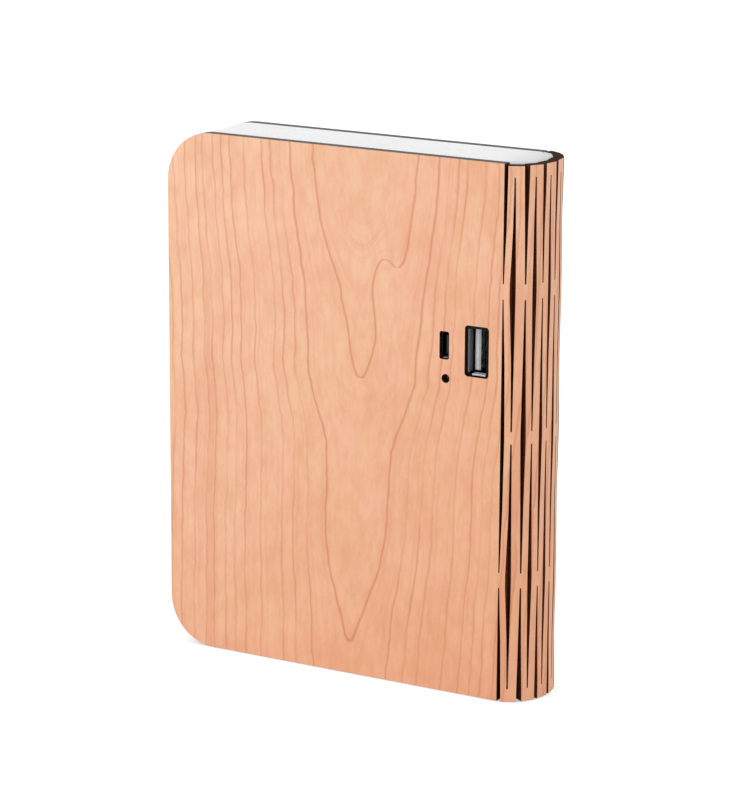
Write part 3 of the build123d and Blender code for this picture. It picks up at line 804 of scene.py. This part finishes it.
def shade_path(right_end):
    """(rim point, inner fold point) pairs round the C of the shade, top spine end first."""
    rim_left = -COVER_WIDTH + PAPER_INSET
    rim_top = HEIGHT - PAPER_INSET
    fold_left = rim_left + PLEAT_DEPTH
    fold_top = rim_top - PLEAT_DEPTH
    corner_r = CORNER_R - PAPER_INSET
    arc_x, arc_z = rim_left + corner_r, rim_top - corner_r
    corner = (fold_left, fold_top)
    upper = []
    for i in range(TOP_STEPS + 1):
        x = right_end + (fold_left - right_end) * i / TOP_STEPS
        upper.append(((x, rim_top), (x, fold_top)))
    upper.append((((fold_left + arc_x) / 2, rim_top), corner))
    upper += [(rim, corner) for rim in corner_arc(arc_x, arc_z, corner_r)]
    upper.append(((rim_left, (arc_z + fold_top) / 2), corner))
    for i in range(SIDE_STEPS):
        z = fold_top + (HEIGHT / 2 - fold_top) * i / SIDE_STEPS
        upper.append(((rim_left, z), (fold_left, z)))
    lower = [((a[0], HEIGHT - a[1]), (b[0], HEIGHT - b[1])) for a, b in reversed(upper)]
    return upper + [((rim_left, HEIGHT / 2), (fold_left, HEIGHT / 2))] + lower


def apply_modifiers(piece):
    """Keeps a piece's evaluated mesh as its own, with no modifier left."""
    graph = bpy.context.evaluated_depsgraph_get()
    made = bpy.data.meshes.new_from_object(piece.evaluated_get(graph))
    piece.modifiers.clear()
    old = piece.data
    piece.data = made
    bpy.data.meshes.remove(old)


def pleat(index, y_start, y_end):
    """One V of the shade's paper, from one rim to the next through the inner fold."""
    profile = [(depth, fold_share(depth)) for depth in PLEAT_DEPTHS]
    profile += [(depth, 1 - share) for depth, share in reversed(profile[:-1])]
    creases = [(depth / PLEAT_DEPTH, y_start + (y_end - y_start) * share) for depth, share in profile]
    paths = [shade_path(pleat_end_x(y)) for _, y in creases]
    points, faces = [], []
    for i in range(len(paths[0])):
        for (inward, y), path in zip(creases, paths):
            (rim_x, rim_z), (in_x, in_z) = path[i]
            points.append(row(rim_x + (in_x - rim_x) * inward, y, rim_z + (in_z - rim_z) * inward))
    n = len(profile)
    for i in range(len(paths[0]) - 1):
        for j in range(n - 1):
            a, b = i * n + j, (i + 1) * n + j
            faces.append((a, b, b + 1, a + 1))
    piece = add_mesh(f"pleat_{index:02d}", points, faces, [white_paper])
    for polygon in piece.data.polygons:
        polygon.use_smooth = True
    inner_fold = len(PLEAT_DEPTHS) - 1
    sharp = piece.data.attributes.new("sharp_edge", "BOOLEAN", "EDGE")
    for edge in piece.data.edges:
        if all(vertex % n == inner_fold for vertex in edge.vertices):
            sharp.data[edge.index].value = True
    thick = piece.modifiers.new("thickness", "SOLIDIFY")
    thick.thickness = PAPER_T / 1000
    thick.offset = 0
    apply_modifiers(piece)
    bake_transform(piece)
    return piece


rims = [COVER_T + LINING_T]
rims += [FIRST_LEAF_Y + LEAF_PITCH * i for i in range(LEAVES)]
rims.append(BOOK_T - COVER_T - LINING_T)
for index in range(LEAVES + 1):
    piece = pleat(index, rims[index], rims[index + 1])
    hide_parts(f"shade_leaf_{min(index + 1, LEAVES):02d}")


# ---- linings -------------------------------------------------------------------------------
def lining(name, cover, y_face, y_glued, window):
    """Paper glued over a cover's inner face, with a hole for the charging unit if it has one."""
    arc_x, arc_z = -COVER_WIDTH + CORNER_R, HEIGHT - CORNER_R
    rim = [(-LINING_HINGE_GAP, HEIGHT)] + corner_arc(arc_x, arc_z, CORNER_R)
    rim += [(x, HEIGHT - z) for x, z in reversed(rim)]
    points = [row(x, y, z) for y in (y_face, y_glued) for x, z in rim]
    n = len(rim)
    sides = [(i, (i + 1) % n, n + (i + 1) % n, n + i) for i in range(n)]
    if window:
        left, right, bottom, top = window
        hole = [(right, top), (left, top), (left, bottom), (right, bottom)]
        base = len(points)
        points += [row(x, y, z) for y in (y_face, y_glued) for x, z in hole]
        half = n // 2
        face = [
            [0, base, base + 1] + list(range(half - 1, 0, -1)),
            [half - 1, base + 1, base + 2, half],
            [base + 2, base + 3] + list(range(n - 1, half - 1, -1)),
            [n - 1, base + 3, base, 0],
        ]
        glued = [[i + n if i < n else i + 4 for i in corners] for corners in face]
        for i in range(4):
            j = (i + 1) % 4
            sides.append((base + i, base + j, base + 4 + j, base + 4 + i))
        faces = face + glued + sides
    else:
        faces = [list(range(n)), list(range(n, 2 * n))] + sides
    piece = add_mesh(name, points, faces, [white_paper])
    solid = bmesh.new()
    solid.from_mesh(piece.data)
    bmesh.ops.recalc_face_normals(solid, faces=solid.faces)
    solid.to_mesh(piece.data)
    solid.free()
    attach(piece, cover)
    return piece


front_paper = lining("front_paper", "front_cover", COVER_T + LINING_T, COVER_T, CASE_WINDOW)
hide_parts("front_lining")
back_inner = BOOK_T - COVER_T
back_paper = lining("back_paper", "back_cover", back_inner - LINING_T, back_inner, None)
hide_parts("back_lining")


# ---- floor, light and background -----------------------------------------------------------
def soft_light(name, place, size, power):
    """A round lamp aimed at the middle of the book."""
    lamp = bpy.data.lights.new(name, "AREA")
    lamp.shape = "DISK"
    lamp.size = size
    lamp.energy = power
    holder = bpy.data.objects.new(name, lamp)
    holder.location = place
    aim = Vector(LIT_POINT) - Vector(place)
    holder.rotation_euler = aim.to_track_quat("-Z", "Y").to_euler()
    bpy.context.scene.collection.objects.link(holder)


def white_world():
    """Even light that the camera, metal and glass see as a white background."""
    world = bpy.data.worlds.new("studio")
    bpy.context.scene.world = world
    world.use_nodes = True
    tree = world.node_tree
    background = tree.nodes["Background"]
    background.inputs["Color"].default_value = WHITE
    ray = tree.nodes.new("ShaderNodeLightPath")
    shown = ray.outputs["Is Camera Ray"]
    for other in ("Is Glossy Ray", "Is Transmission Ray"):
        either = tree.nodes.new("ShaderNodeMath")
        either.operation = "MAXIMUM"
        tree.links.new(shown, either.inputs[0])
        tree.links.new(ray.outputs[other], either.inputs[1])
        shown = either.outputs[0]
    strength = tree.nodes.new("ShaderNodeMapRange")
    strength.inputs["To Min"].default_value = WORLD_LIGHT
    strength.inputs["To Max"].default_value = WORLD_SHOWN
    tree.links.new(shown, strength.inputs["Value"])
    tree.links.new(strength.outputs[0], background.inputs["Strength"])


def pale_floor():
    """A plain floor that looks white and keeps the lamp's shadow."""
    far = FLOOR_SIZE / 2
    corners = [(-far, -far, 0), (far, -far, 0), (far, far, 0), (-far, far, 0)]
    mesh = bpy.data.meshes.new("floor")
    mesh.from_pydata(corners, [], [(0, 1, 2, 3)])
    floor = bpy.data.objects.new("floor", mesh)
    floor.location = (0, 0, -FLOOR_DROP)
    bpy.context.scene.collection.objects.link(floor)
    t = Tree("floor")
    ray = t.node("ShaderNodeLightPath")
    shown = t.larger(ray.outputs["Is Camera Ray"], ray.outputs["Is Glossy Ray"])
    t.put(t.shader.inputs["Emission Strength"], t.times(shown, FLOOR_GLOW))
    mesh.materials.append(t.surface(FLOOR_COLOR, 0.9, Emission_Color=WHITE, Specular_IOR_Level=0.1))


soft_light("key", *KEY_LIGHT)
soft_light("fill", *FILL_LIGHT)
white_world()
pale_floor()

bpy.context.scene.view_settings.view_transform = "Standard"
